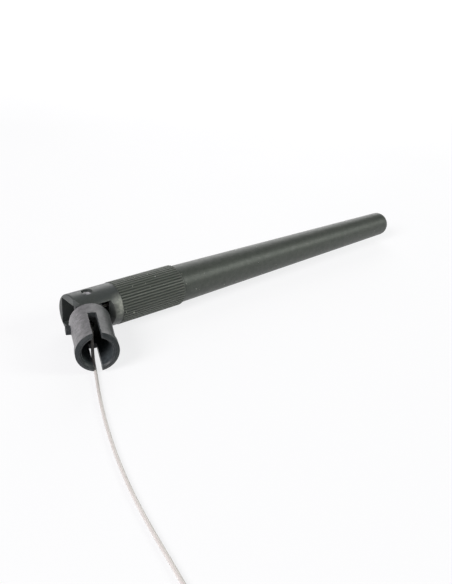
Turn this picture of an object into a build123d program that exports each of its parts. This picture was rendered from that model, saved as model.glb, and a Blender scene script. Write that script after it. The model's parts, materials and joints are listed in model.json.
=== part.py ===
from build123d import *
import os
from math import cos, pi, radians, sin, tan

# Folding 2.4 GHz antenna: a tapered tube with a fluted grip, hinged on a split snap-in stem, with a thin coax
# that leaves the stem's open mouth. Millimetres, +Z up.
#
# Frame: the origin is the centre of the stem's mouth. The stem's axis is Y and the hinge pin's axis is Z, at
# (0, stem_length). Antenna pieces are drawn straight along +X from the pin and then placed at the fold.

# ---------------------------------------------------------------- driving dimensions
fold_angle = 65.6            # between the stem's axis and the antenna's, 0 when straight

# Clevis
clevis_r = 5.65
ear_end = 4.9                # pin to the flat end of the ears
ear_sweep_r = 5.2            # round of the ears' front corners about the pin
neck_end = 7.5               # pin to the start of the grip
pocket_half = 3.6            # half the height between the ears
pocket_back = 4.0            # pin axis to the closed back wall
pocket_depth = 6.6           # pin to the deep end of the pocket, behind the lip
lip_front = 3.75             # pin to the inner edge of the lip, in front of it, where the stem folds to
lip_flat = 0.35              # narrow square face along that edge
lip_lean = 33.0              # degrees by which the rest of the lip's face opens outwards
stem_seat_clear = 0.12       # room between the lip's face and the folded stem
ear_edge_round = 0.25

# Stem
stem_length = 21.25          # pin to mouth
shoulder_clear = 0.25        # between the ears' round corners and the stem's shoulder
stem_root_r = 5.15
stem_mouth_r = 4.88
flange_r = 5.2
flange_t = 2.3
flange_back_slope = 0.3      # length of the bevel on the flange's back edge
flange_face_bevel = 0.75
flange_face_drop = 0.45
bore_r = 3.72
bore_lip_bevel = 0.42
web_t = 2.0                  # between the shoulder and the blind end of the bore
slot_w = 2.1
slot_length = 10.75
key_from_pin = 8.0
key_length = 2.5
key_h = 1.5
key_reach = 1.15             # beyond the stem's side
key_edge_bevel = 0.15
shoulder_round = 0.5

# Knuckle and pivot pins
knuckle_side_clear = 0.12    # to each ear
knuckle_back_clear = 0.75    # to the pocket's back wall
cable_slot_half = 1.0        # half the height of the slot that lets the coax swing
cable_slot_length = 3.4      # pin to the slot's inner end
pin_r = 1.4
pin_running_clear = 0.05
pin_recess = 0.8             # below the ear's outer surface
pin_edge_bevel = 0.15
pin_dimple_r = 0.8
pin_dimple_depth = 0.25

# Tube and grip
grip_r = 5.75
grip_length = 20.3
flute_count = 46
flute_start = 3.2            # degrees from the back to the first flute, towards the top
flute_r = 0.24
flute_depth = 0.22
grip_end_bevel = 0.35
tube_base_r = 5.35
tube_tip_r = 3.93            # where the sides would meet the flat of the tip
tube_end = 122.5             # pin to the tip
tip_round = 3.1
tube_wall = 1.2
tip_wall = 2.0
tube_overlap = 1.0           # of the plain tube under the grip, to join them
spigot_r = 3.9
spigot_length = 16.0
glue_clear = 0.05
spigot_groove_r = 0.35
spigot_groove_places = (5.0, 11.0)
potting_r = 2.2
potting_length = 4.0

# Coax
cable_r = 0.405
braid_r = 0.3
dielectric_r = 0.2
conductor_r = 0.075
layer_clear = 0.01
cable_hole_r = 1.0
hinge_bend_r = 4.0

# Sleeve dipole inside the tube
feed_point = 68.0            # pin to the closed end of the sleeve
sleeve_length = 26.5
sleeve_r = 2.4
sleeve_wall = 0.25
sleeve_bush_length = 3.0
jacket_strip = 1.25          # length of bare braid inside the sleeve
collar_r = 1.2
collar_top_r = 0.6
collar_length = 1.2
radiator_gap = 0.6
radiator_length = 25.5
radiator_r = 0.8
radiator_bevel = 0.2
radiator_socket = 3.0
shrink_wall = 0.25
shrink_length = 6.0
centring_length = 4.0
lower_centring_from_feed = 16.0
upper_centring_from_end = 2.0
fit_clear = 0.04

# Put-away coil, its tie and the plug
coil_mean_r = 4.6
coil_band = 1.7              # width of the turns side by side
coil_height = 1.66
coil_lift = 0.15             # the tie passes under the turns
coil_centre = (1.8, -72.4)
coil_entry_angle = 11.5      # where the coax meets the turns, from +X
coil_entry_lead = 4.0
coil_last_run = 7.6          # straight run of the coax before the lead
coil_exit_lead = 4.2
coil_corner = 0.35
tie_angle = 140.0
tie_width = 1.2
tie_wall = 0.1
tie_clear = 0.05
plug_cable_height = 1.2      # of the coax in the plug, above the surface
plug_r = 1.3
plug_wall = 0.2
plug_height = 2.0
crimp_r = 0.62
plug_reach = 3.3             # plug's axis to the end of its crimp
insulator_t = 1.0
contact_r = 0.4
contact_bore_r = 0.26
contact_roof = 0.8           # solid top of the contact, above its bore
contact_height = 1.5

# ---------------------------------------------------------------- worked out from them
pin_y = stem_length
floor_z = -max(clevis_r, grip_r)
shoulder = ear_sweep_r + shoulder_clear
bore_end = shoulder + web_t
knuckle_half = pocket_half - knuckle_side_clear
knuckle_r = pocket_back - knuckle_back_clear
grip_end = neck_end + grip_length
spigot_end = neck_end + spigot_length
socket_r = spigot_r + glue_clear
pin_outer = clevis_r - pin_recess
cable_floor = floor_z + cable_r
far = 4 * clevis_r           # past every face of the hinge
past = 1.0                   # how far a cut runs past the face that it opens

antenna_place = Pos(0, pin_y, 0) * Rot(0, 0, 90 - fold_angle)

nodes = {}


def rod_x(radius, start, end, inner=0.0):
    """A round bar or tube along X."""
    bar = Pos((start + end) / 2, 0, 0) * Rot(0, 90, 0) * Cylinder(radius, end - start)
    if inner:
        bar -= Pos((start + end) / 2, 0, 0) * Rot(0, 90, 0) * Cylinder(inner, end - start)
    return bar


def rod_y(radius, start, end):
    """A round bar along Y."""
    return Pos(0, (start + end) / 2, 0) * Rot(90, 0, 0) * Cylinder(radius, end - start)


def block(low, high):
    """A box between two corners."""
    size = [h - l for l, h in zip(low, high)]
    centre = [(h + l) / 2 for l, h in zip(low, high)]
    return Pos(*centre) * Box(*size)


def turned(points, axis):
    """A solid of revolution from half an outline given as (distance along the axis, radius)."""
    if axis == "X":
        outline = Polyline(*[(a, r) for a, r in points], close=True)
        return revolve(make_face(outline), Axis.X)
    outline = Polyline(*[(r, a) for a, r in points], close=True)
    return revolve(make_face(outline), Axis.Y)


def tube_inner_r(x):
    """Inner radius of the tube at a distance from the pin."""
    share = (x - grip_end) / (tube_end - grip_end)
    return tube_base_r - tube_wall + share * (tube_tip_r - tube_base_r)


def keep(name, shape, in_antenna=False):
    """Places a piece in the part's frame and files it under its node name."""
    nodes[name] = antenna_place * shape if in_antenna else shape


# ---------------------------------------------------------------- clevis
def make_clevis():
    body = rod_x(clevis_r, -ear_end, neck_end)
    body += rod_x(spigot_r, neck_end, spigot_end)

    # The pocket is closed at the back and open at the front and the end. Beyond the pin it opens through a lip
    # whose face leans outwards and just clears the round of the stem's root, folded to a right angle.
    body -= block((-far, -far, -pocket_half), (0, pocket_back, pocket_half))
    body -= block((0, -lip_front, -pocket_half), (pocket_depth, pocket_back, pocket_half))
    lean = radians(lip_lean)
    root_along, root_front = stem_root_r - shoulder_round, shoulder + shoulder_round
    face_start = root_along - root_front * tan(lean) + (shoulder_round + stem_seat_clear) / cos(lean)
    leaning = [(face_start + front * tan(lean), -front) for front in (lip_front + lip_flat, far)]
    opening = Polyline((0, -lip_front), (leaning[0][0], -lip_front), *leaning, (0, -far), close=True)
    body -= extrude(make_face(opening), pocket_half, both=True)

    # The ears' front corners are round about the pin, so that the shoulder swings past them.
    corner = block((-far, -far, -far), (0, 0, far)) - Cylinder(ear_sweep_r, 2 * far)
    body -= corner

    body -= Cylinder(pin_r + pin_running_clear, 2 * far)
    body -= rod_x(cable_hole_r, pocket_depth, spigot_end)
    body -= rod_x(potting_r, spigot_end - potting_length, spigot_end)
    for place in spigot_groove_places:
        ring = Pos(neck_end + place, 0, 0) * Rot(0, 90, 0) * Torus(spigot_r, spigot_groove_r)
        body -= ring
    end_edges = body.edges().filter_by(GeomType.CIRCLE).filter_by_position(Axis.X, -ear_end, -ear_end)
    return fillet(end_edges, ear_edge_round)


# ---------------------------------------------------------------- stem
def make_stem():
    y_shoulder = pin_y - shoulder
    back = flange_t + flange_back_slope
    outline = [
        (0, 0), (0, flange_r - flange_face_bevel), (flange_face_drop, flange_r), (flange_t, flange_r),
        (back, stem_mouth_r), (y_shoulder - shoulder_round, stem_root_r),
        (y_shoulder, stem_root_r - shoulder_round), (y_shoulder, 0),
    ]
    body = turned(outline, "Y")

    # The knuckle: a slab with its round end about the pin.
    knuckle = Pos(0, pin_y, 0) * Cylinder(knuckle_r, 2 * knuckle_half)
    knuckle += block((-knuckle_r, pin_y - bore_end, -knuckle_half), (knuckle_r, pin_y, knuckle_half))
    body += knuckle

    # The key that sets how far the stem turns in its seat.
    key_y = pin_y - key_from_pin
    key_inner = (stem_root_r + bore_r) / 2
    key = block((-stem_root_r - key_reach, key_y - key_length, -key_h / 2), (-key_inner, key_y, key_h / 2))
    body += chamfer(key.edges(), key_edge_bevel)

    bore_mouth = bore_r + bore_lip_bevel
    y_bore_end = pin_y - bore_end
    bore = [
        (-past, 0), (-past, bore_mouth + past), (bore_lip_bevel, bore_r), (y_bore_end, bore_r), (y_bore_end, 0),
    ]
    body -= turned(bore, "Y")

    # Slots above and below split the mouth into two springy halves.
    body -= block((-slot_w / 2, -past, -far), (slot_w / 2, slot_length, far))

    # The coax comes through the web and swings in a slot between the knuckle's cheeks.
    body -= rod_y(cable_hole_r, y_bore_end - past, pin_y)
    body -= block((-far, pin_y - cable_slot_length, -cable_slot_half), (far, pin_y + far, cable_slot_half))
    body -= Pos(0, pin_y, 0) * Cylinder(pin_r, 2 * far)
    return body


def make_pin(up):
    inner = cable_slot_half
    length = pin_outer - inner
    pin = Pos(0, pin_y, inner + length / 2) * Cylinder(pin_r, length)
    pin = chamfer(pin.edges().filter_by(GeomType.CIRCLE), pin_edge_bevel)
    pin -= Pos(0, pin_y, pin_outer) * Cylinder(pin_dimple_r, 2 * pin_dimple_depth)
    return pin if up else mirror(pin, Plane.XY)


# ---------------------------------------------------------------- tube with the grip
def make_radome():
    with BuildSketch(Plane.YZ.offset(neck_end)) as section:
        Circle(grip_r)
        with PolarLocations(grip_r + flute_r - flute_depth, flute_count, start_angle=flute_start):
            Circle(flute_r, mode=Mode.SUBTRACT)
    grip = extrude(section.sketch, grip_length)
    # The grip's far end is bevelled down to the tube.
    limit = [
        (neck_end, 0), (neck_end, grip_r + past), (grip_end - grip_end_bevel - past, grip_r + past),
        (grip_end, grip_r - grip_end_bevel), (grip_end, 0),
    ]
    grip &= turned(limit, "X")

    root = grip_end - tube_overlap
    with BuildSketch() as outer:
        with BuildLine():
            Polyline(
                (root, 0), (root, tube_base_r), (grip_end, tube_base_r), (tube_end, tube_tip_r), (tube_end, 0),
                close=True,
            )
        make_face()
        tip_corner = outer.vertices().sort_by(Axis.X)[-2:].sort_by(Axis.Y)[-1]
        fillet(tip_corner, tip_round)
    shell = grip + revolve(outer.sketch, Axis.X)

    inner_end = tube_end - tip_wall
    cavity = [
        (neck_end, 0), (neck_end, socket_r), (spigot_end + glue_clear, socket_r),
        (grip_end, tube_inner_r(grip_end)), (inner_end, tube_inner_r(inner_end)), (inner_end, 0),
    ]
    return shell - turned(cavity, "X")


# ---------------------------------------------------------------- sleeve dipole and its coax
def make_dipole():
    sleeve_start = feed_point - sleeve_length
    sleeve_bore = sleeve_r - sleeve_wall
    collar_end = feed_point + collar_length
    rod_start = collar_end + radiator_gap
    rod_end = rod_start + radiator_length
    socket_end = rod_start + radiator_socket

    keep("coax_jacket", rod_x(cable_r, pocket_depth, feed_point - jacket_strip, braid_r + layer_clear), True)
    keep("coax_braid", rod_x(braid_r, pocket_depth, collar_end, dielectric_r + layer_clear), True)
    keep("coax_dielectric", rod_x(dielectric_r, pocket_depth, rod_start, conductor_r + layer_clear), True)
    keep("coax_conductor", rod_x(conductor_r, pocket_depth, socket_end), True)

    sleeve = rod_x(sleeve_r, sleeve_start, feed_point)
    sleeve -= rod_x(sleeve_bore, sleeve_start, feed_point - sleeve_wall)
    sleeve -= rod_x(braid_r + layer_clear, sleeve_start, feed_point)
    keep("dipole_sleeve", sleeve, True)
    bush_start = sleeve_start + sleeve_wall
    bush = rod_x(sleeve_bore - fit_clear, bush_start, bush_start + sleeve_bush_length, cable_r + fit_clear)
    keep("sleeve_bush", bush, True)

    collar = [
        (feed_point, braid_r + layer_clear), (feed_point, collar_r),
        (collar_end, collar_top_r), (collar_end, braid_r + layer_clear),
    ]
    keep("solder_collar", turned(collar, "X"), True)

    radiator = rod_x(radiator_r, rod_start, rod_end)
    radiator = chamfer(radiator.edges().filter_by(GeomType.CIRCLE), radiator_bevel)
    radiator -= rod_x(conductor_r + layer_clear, rod_start, socket_end)
    keep("radiator_rod", radiator, True)
    shrink_bore = collar_r + fit_clear
    shrink_start = feed_point + fit_clear
    shrink = rod_x(shrink_bore + shrink_wall, shrink_start, shrink_start + shrink_length, shrink_bore)
    keep("feed_shrink_tube", shrink, True)

    low = feed_point - lower_centring_from_feed
    keep("lower_centring_ring", centring_ring(low, sleeve_r + fit_clear), True)
    high = rod_end - upper_centring_from_end - centring_length
    keep("upper_centring_ring", centring_ring(high, radiator_r + fit_clear), True)

    glue_start = spigot_end - potting_length + fit_clear
    keep("potting_plug", rod_x(potting_r - fit_clear, glue_start, spigot_end, cable_r + fit_clear), True)


def centring_ring(start, hole_r):
    """A ring between the tube's tapered bore and what it carries."""
    end = start + centring_length
    outline = [
        (start, hole_r), (start, tube_inner_r(start) - fit_clear),
        (end, tube_inner_r(end) - fit_clear), (end, hole_r),
    ]
    return turned(outline, "X")


# ---------------------------------------------------------------- coax through the hinge
def make_hinge_bend():
    turn = radians(fold_angle)
    direction = Vector(sin(turn), cos(turn), 0)
    pivot = Vector(0, pin_y, 0)
    path = FilletPolyline(
        pivot + direction * pocket_depth, pivot, (0, pin_y - bore_end, 0), radius=hinge_bend_r
    )
    start = Plane(origin=path @ 0, z_dir=path % 0)
    return sweep(start * Circle(cable_r), path=path)


# ---------------------------------------------------------------- free coax, coil and tie
def coil_entry():
    """Where the free coax ends at the coil, and the way it points there."""
    angle = radians(coil_entry_angle)
    out = Vector(cos(angle), sin(angle), 0)
    along = Vector(sin(angle), -cos(angle), 0)
    return Vector(*coil_centre, cable_floor) + out * coil_mean_r - along * coil_entry_lead, along


entry_at, entry_way = coil_entry()
tail_points = [
    (0.0, pin_y - bore_end, 0.0),
    (0.0, 10.9, 0.0),
    (-0.35, 8.1, -1.8),
    (-0.57, 5.4, -3.9),
    (-0.6, 2.3, -5.0),
    (-0.63, -1.5, cable_floor),
    (-0.94, -8.3, cable_floor),
    (-1.04, -16.2, cable_floor),
    (-0.8, -24.7, cable_floor),
    (-0.2, -33.3, cable_floor),
    (0.9, -42.4, cable_floor),
    (2.55, -51.5, cable_floor),
    tuple(entry_at - entry_way * coil_last_run),
    tuple(entry_at),
]


def corner_radii(points):
    """Each arc is 0.45 of its shorter run, over the tangent of half the turn."""
    radii = []
    for before, here, after in zip(points, points[1:], points[2:]):
        run_in = Vector(*here) - Vector(*before)
        run_out = Vector(*after) - Vector(*here)
        half = radians(run_in.get_angle(run_out)) / 2
        radii.append(0.45 * min(run_in.length, run_out.length) / tan(half))
    return radii


def make_tail():
    radii = corner_radii(tail_points)
    print("coax tail radii", [round(r, 1) for r in radii])
    path = FilletPolyline(*tail_points, radius=radii)
    start = Plane(origin=path @ 0, z_dir=path % 0)
    tube = sweep(start * Circle(cable_r), path=path)
    print("coax tail length", path.length, "volume over section", tube.volume / (pi * cable_r**2))
    return tube


def make_coil():
    middle = floor_z + coil_lift + coil_height / 2
    section = Pos(coil_mean_r, middle) * RectangleRounded(coil_band, coil_height, coil_corner)
    ring = revolve(Plane.XZ * section, Axis.Z)
    ring = Pos(*coil_centre, 0) * ring

    # Where the coax comes in, and where it leaves for the plug.
    lead = Plane(origin=entry_at, z_dir=entry_way) * Circle(cable_r)
    ring += extrude(lead, coil_entry_lead)
    exit_at = Vector(coil_centre[0], coil_centre[1] - coil_mean_r, floor_z + plug_cable_height)
    lead = Plane(origin=exit_at, z_dir=(-1, 0, 0)) * Circle(cable_r)
    ring += extrude(lead, coil_exit_lead)
    return ring


def make_tie():
    low = floor_z + coil_lift - tie_clear
    inner_w = coil_band + 2 * tie_clear
    inner_h = coil_height + 2 * tie_clear
    middle = low + inner_h / 2
    outer = Box(inner_w + 2 * tie_wall, tie_width, inner_h + 2 * tie_wall)
    band = outer - Box(inner_w, tie_width, inner_h)
    return Pos(*coil_centre, 0) * Rot(0, 0, tie_angle) * Pos(coil_mean_r, 0, middle) * band


# ---------------------------------------------------------------- plug
def make_plug():
    plug_x = coil_centre[0] - coil_exit_lead - plug_reach
    plug_y = coil_centre[1] - coil_mean_r
    place = Pos(plug_x, plug_y, floor_z)
    at_cable = Pos(0, 0, plug_cable_height)
    ceiling = plug_height - plug_wall
    inner_r = plug_r - plug_wall
    wire_hole = at_cable * rod_x(dielectric_r + layer_clear, contact_r, plug_reach)

    shell = Pos(0, 0, plug_height / 2) * Cylinder(plug_r, plug_height)
    shell += at_cable * rod_x(crimp_r, inner_r, plug_reach)
    shell -= Pos(0, 0, ceiling / 2) * Cylinder(inner_r, ceiling)
    keep("plug_shell", place * (shell - wire_hole))

    disc_middle = ceiling - insulator_t / 2
    disc = Pos(0, 0, disc_middle) * Cylinder(inner_r - fit_clear, insulator_t)
    disc -= Pos(0, 0, disc_middle) * Cylinder(contact_r + fit_clear, insulator_t)
    keep("plug_insulator", place * (disc - wire_hole))

    # The contact is a cup, open below, that the coax's core meets from the side.
    contact_middle = ceiling - contact_height / 2
    contact = Pos(0, 0, contact_middle) * Cylinder(contact_r, contact_height)
    contact -= Pos(0, 0, contact_middle - contact_roof) * Cylinder(contact_bore_r, contact_height)
    keep("plug_contact", place * contact)
    keep("plug_wire", place * at_cable * rod_x(dielectric_r, contact_r, plug_reach))


# ---------------------------------------------------------------- build and write
def make_all():
    keep("stem", make_stem())
    keep("upper_pivot_pin", make_pin(True))
    keep("lower_pivot_pin", make_pin(False))
    keep("clevis", make_clevis(), True)
    keep("radome", make_radome(), True)
    make_dipole()
    keep("coax_hinge_bend", make_hinge_bend())
    keep("coax_tail", make_tail())
    keep("coax_coil", make_coil())
    keep("coil_tie", make_tie())
    make_plug()


make_all()
os.makedirs("parts", exist_ok=True)
for name, shape in nodes.items():
    shape.label = name
    export_step(shape, f"parts/{name}.step")
print(len(nodes), "nodes")
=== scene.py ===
import json
from math import cos, pi, radians, sin

import bmesh
import bpy
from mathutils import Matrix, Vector


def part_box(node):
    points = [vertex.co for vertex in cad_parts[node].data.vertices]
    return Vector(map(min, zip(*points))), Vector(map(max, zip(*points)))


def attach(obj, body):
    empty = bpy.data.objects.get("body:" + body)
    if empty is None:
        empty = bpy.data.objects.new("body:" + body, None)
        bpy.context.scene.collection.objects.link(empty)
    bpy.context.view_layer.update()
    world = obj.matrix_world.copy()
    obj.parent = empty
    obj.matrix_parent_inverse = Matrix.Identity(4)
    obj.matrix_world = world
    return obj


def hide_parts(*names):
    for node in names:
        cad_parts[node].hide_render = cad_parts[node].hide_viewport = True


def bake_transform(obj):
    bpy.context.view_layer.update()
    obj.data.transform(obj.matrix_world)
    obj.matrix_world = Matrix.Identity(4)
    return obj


# A folding 2.4 GHz antenna on a pale table: a tapered tube with a fluted grip, hinged on a split snap-in
# stem, and a thin coax that leaves the stem's mouth and ends in a neat coil with a snap-on plug.
# Metres, +Z up. The origin is the middle of the stem's mouth. The stem lies along Y, and the hinge turns
# about Z.

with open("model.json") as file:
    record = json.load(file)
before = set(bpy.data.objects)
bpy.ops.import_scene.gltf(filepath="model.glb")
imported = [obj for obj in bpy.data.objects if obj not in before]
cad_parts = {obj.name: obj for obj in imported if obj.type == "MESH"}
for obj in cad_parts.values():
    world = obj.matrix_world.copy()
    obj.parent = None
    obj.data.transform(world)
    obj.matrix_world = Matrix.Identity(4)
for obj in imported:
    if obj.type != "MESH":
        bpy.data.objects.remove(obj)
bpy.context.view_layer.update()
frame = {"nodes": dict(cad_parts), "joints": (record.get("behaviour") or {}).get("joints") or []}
nodes = frame["nodes"]
fold = frame["joints"][0]

MM = 0.001
PIN = Vector(fold["pos_m"])
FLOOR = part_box("radome")[0].z
TURN = radians(fold["range_deg"][1])             # the antenna's turn from straight to where it lies
ALONG = Vector((sin(TURN), cos(TURN), 0))        # from the pin towards the tube's tip
ACROSS = Vector((cos(TURN), -sin(TURN), 0))      # from the antenna's axis towards the stem's side


# ---------------------------------------------------------------- colours, linear
# The stem: its ends dark as painted shade, its barrel pale as painted light, its bore paler as painted fill
# light.
GREY_NYLON, GREY_NYLON_CLOUD = (0.020, 0.024, 0.026), (0.030, 0.034, 0.036)
GREY_NYLON_EDGE_WEAR_AND_HIGHLIGHT = (0.26, 0.26, 0.26)
BORE_PAINTED_FILL_LIGHT = (0.062, 0.074, 0.080)
BARREL_PAINTED_LIGHT, BARREL_PAINTED_LIGHT_CLOUD = (0.250, 0.244, 0.252), (0.135, 0.136, 0.138)
PIN_GREY, PIN_GREY_CLOUD = (0.50, 0.50, 0.52), (0.34, 0.34, 0.34)
DARK_NYLON, DARK_NYLON_CLOUD = (0.051, 0.057, 0.053), (0.038, 0.044, 0.046)
DARK_NYLON_EDGE_WEAR_AND_HIGHLIGHT = (0.16, 0.16, 0.155)
# A painted highlight on the clevis's neck:
NECK_PAINTED_HIGHLIGHT = (0.330, 0.342, 0.300)
ELASTOMER, ELASTOMER_CLOUD = (0.052, 0.059, 0.050), (0.034, 0.041, 0.034)
ELASTOMER_EDGE_WEAR_AND_HIGHLIGHT = (0.19, 0.20, 0.18)
GROOVE_DARK = (0.010, 0.012, 0.010)
# A painted highlight on the lands of the grip's flutes:
LAND_PAINTED_HIGHLIGHT = (0.110, 0.122, 0.102)
DUST = (0.55, 0.55, 0.50)
GRIME = (0.2, 0.19, 0.18)
JACKET, JACKET_CLOUD = (0.70, 0.66, 0.63), (0.63, 0.59, 0.555)
TINNED, TINNED_DULL = (0.62, 0.62, 0.6), (0.4, 0.4, 0.38)
WHITE_PLASTIC, WHITE_PLASTIC_CLOUD = (0.78, 0.78, 0.76), (0.7, 0.7, 0.67)
COPPER, COPPER_DULL = (0.85, 0.48, 0.32), (0.5, 0.27, 0.17)
BRASS, BRASS_DULL = (0.78, 0.6, 0.28), (0.45, 0.33, 0.16)
SOLDERED, SOLDERED_DULL = (0.66, 0.67, 0.68), (0.42, 0.42, 0.42)
BLACK_PLASTIC, BLACK_PLASTIC_CLOUD = (0.022, 0.022, 0.023), (0.034, 0.034, 0.034)
FOAM, FOAM_CLOUD = (0.6, 0.6, 0.58), (0.5, 0.5, 0.48)
FOAM_WALL = (0.3, 0.3, 0.29)
RESIN, RESIN_CLOUD = (0.30, 0.26, 0.18), (0.24, 0.2, 0.13)
GOLD, GOLD_DULL = (0.92, 0.7, 0.36), (0.6, 0.42, 0.2)
TABLE_BOUNCE = (0.70, 0.70, 0.70)                # what the table throws back on the antenna
PALE_TABLE, PALE_TABLE_CLOUD = (0.19, 0.19, 0.19), (0.185, 0.186, 0.188)
TABLE_LIGHT = (0.99, 0.99, 1.0)


# ---------------------------------------------------------------- building nodes
def add(tree, kind, inputs=None, **settings):
    """A shader node. inputs maps a socket's name or number to a value, or to the socket that feeds it."""
    made = tree.nodes.new("ShaderNode" + kind)
    for label, value in settings.items():
        setattr(made, label, value)
    for label, value in (inputs or {}).items():
        if isinstance(value, bpy.types.NodeSocket):
            tree.links.new(value, made.inputs[label])
        elif isinstance(value, tuple) and len(value) == 3 and made.inputs[label].type == "RGBA":
            made.inputs[label].default_value = (*value, 1)
        else:
            made.inputs[label].default_value = value
    return made


def maths(tree, operation, first, second=0.0):
    return add(tree, "Math", {0: first, 1: second}, operation=operation).outputs[0]


def times(tree, *values):
    """All the values multiplied, such as masks that all have to hold."""
    result = values[0]
    for value in values[1:]:
        result = maths(tree, "MULTIPLY", result, value)
    return result


def swing(tree, value, amount):
    """A value between 0 and 1 made to swing about 0, and scaled."""
    return times(tree, maths(tree, "SUBTRACT", value, 0.5), amount)


def spread(tree, value, low, high, out_low=0.0, out_high=1.0):
    """The value from low to high, put between out_low and out_high and held there."""
    settings = {"Value": value, "From Min": low, "From Max": high, "To Min": out_low, "To Max": out_high}
    return add(tree, "MapRange", settings).outputs["Result"]


def mixed(tree, share, first, second):
    """Two colours mixed."""
    return add(tree, "Mix", {0: share, 6: first, 7: second}, data_type="RGBA").outputs[2]


def vector_maths(tree, operation, first, second=(0.0, 0.0, 0.0), output="Vector"):
    return add(tree, "VectorMath", {0: first, 1: second}, operation=operation).outputs[output]


def dot(tree, first, second):
    return vector_maths(tree, "DOT_PRODUCT", first, second, "Value")


def scaled(tree, vector, factor):
    return add(tree, "VectorMath", {0: vector, 3: factor}, operation="SCALE").outputs["Vector"]


def length(tree, vector):
    return vector_maths(tree, "LENGTH", vector, output="Value")


def on_piece(tree):
    """The place on the piece, in metres from the origin."""
    return add(tree, "TexCoord").outputs["Object"]


def noise(tree, where, scale, detail=2.0, roughness=0.5, output="Fac"):
    shape = {"Vector": where, "Scale": scale, "Detail": detail, "Roughness": roughness}
    return add(tree, "TexNoise", shape).outputs[output]


def new_group(name, inputs, outputs):
    """An empty shader group, with its sockets and its own input and output nodes."""
    tree = bpy.data.node_groups.new(name, "ShaderNodeTree")
    for label, value in inputs.items():
        kind = "NodeSocketColor" if isinstance(value, tuple) else "NodeSocketFloat"
        socket = tree.interface.new_socket(label, in_out="INPUT", socket_type=kind)
        socket.default_value = (*value, 1) if isinstance(value, tuple) else value
    for label, kind in outputs.items():
        tree.interface.new_socket(label, in_out="OUTPUT", socket_type="NodeSocket" + kind)
    return tree, tree.nodes.new("NodeGroupInput").outputs, tree.nodes.new("NodeGroupOutput").inputs


def place(tree, group, **values):
    """The group in a material, with this material's values. Names take _ for a space."""
    inputs = {label.replace("_", " "): value for label, value in values.items()}
    return add(tree, "Group", inputs, node_tree=group).outputs


# ---------------------------------------------------------------- shared effects
# Scales are in features per metre. A pair gives the two values of noise between which a patch fades in.
CLOUD_EDGE = (0.35, 0.68)
EDGE_BEND = (0.985, 0.80)            # cosine of the surface's turn, from flat to a full edge
EDGE_PATCH_SCALE, EDGE_PATCH_EDGE = 900.0, (0.38, 0.62)
LEAST_PALE_EDGE = 0.25                     # share of the pale edge, wear and painted highlight, between the patches
STIR_SCALE = 3200.0                  # makes the flecks ragged
STIR_REACH = 0.3 * MM
DRIFT_SCALE, DRIFT_EDGE = 110.0, (0.48, 0.62)
SMALLEST_FLECK = 0.5                 # share of the fleck size
FAINTEST_FLECK = 0.45                # share of the dust's colour
DULL_SCALE, DULL_EDGE = 700.0, (0.4, 0.7)
DULL_ROUGHNESS = 0.3                 # added where the metal has gone dull
STREAK_STRETCH = 0.06


def make_moulded_skin():
    """Moulded plastic: clouds of a second colour, fine grain, and gloss that differs from place to place."""
    inputs = {
        "Colour": (0.1, 0.1, 0.1), "Cloud Colour": (0.08, 0.08, 0.08), "Cloud Scale": 300.0,
        "Cloud Share": 0.6, "Grain Scale": 6000.0, "Grain Share": 0.12, "Roughness": 0.45,
        "Roughness Spread": 0.1,
    }
    outputs = {"Colour": "Color", "Roughness": "Float", "Height": "Float"}
    tree, given, result = new_group("moulded_skin", inputs, outputs)
    where = on_piece(tree)
    cloud = noise(tree, where, given["Cloud Scale"], 5.0, 0.6)
    share = times(tree, spread(tree, cloud, *CLOUD_EDGE), given["Cloud Share"])
    clouded = mixed(tree, share, given["Colour"], given["Cloud Colour"])

    grain = noise(tree, where, given["Grain Scale"])
    step = swing(tree, grain, given["Grain Share"])
    brightness = maths(tree, "ADD", times(tree, step, 2.0), 1.0)
    colour = add(tree, "HueSaturation", {"Value": brightness, "Color": clouded}).outputs["Color"]
    tree.links.new(colour, result["Colour"])

    sway = swing(tree, cloud, given["Roughness Spread"])
    tree.links.new(maths(tree, "ADD", given["Roughness"], sway), result["Roughness"])
    tree.links.new(grain, result["Height"])
    return tree


def make_edge_wear_and_highlight():
    """Edges made paler in broken patches, as wear and as a painted highlight, and a normal that rounds them a
    little.
    """
    inputs = {
        "Colour": (0.1, 0.1, 0.1), "Worn Colour": (0.2, 0.2, 0.2), "Worn Share": 0.5,
        "Edge Width": 0.2 * MM,
    }
    outputs = {"Colour": "Color", "Mask": "Float", "Normal": "Vector"}
    tree, given, result = new_group("edge_wear_and_highlight", inputs, outputs)
    rounded = add(tree, "Bevel", {"Radius": given["Edge Width"]}, samples=6).outputs["Normal"]
    flat = add(tree, "NewGeometry").outputs["Normal"]
    edge = spread(tree, dot(tree, rounded, flat), *EDGE_BEND)
    patches = noise(tree, on_piece(tree), EDGE_PATCH_SCALE, 4.0)
    broken = times(tree, edge, spread(tree, patches, *EDGE_PATCH_EDGE, LEAST_PALE_EDGE, 1.0))
    mask = times(tree, broken, given["Worn Share"])
    tree.links.new(mixed(tree, mask, given["Colour"], given["Worn Colour"]), result["Colour"])
    tree.links.new(mask, result["Mask"])
    tree.links.new(rounded, result["Normal"])
    return tree


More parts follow.
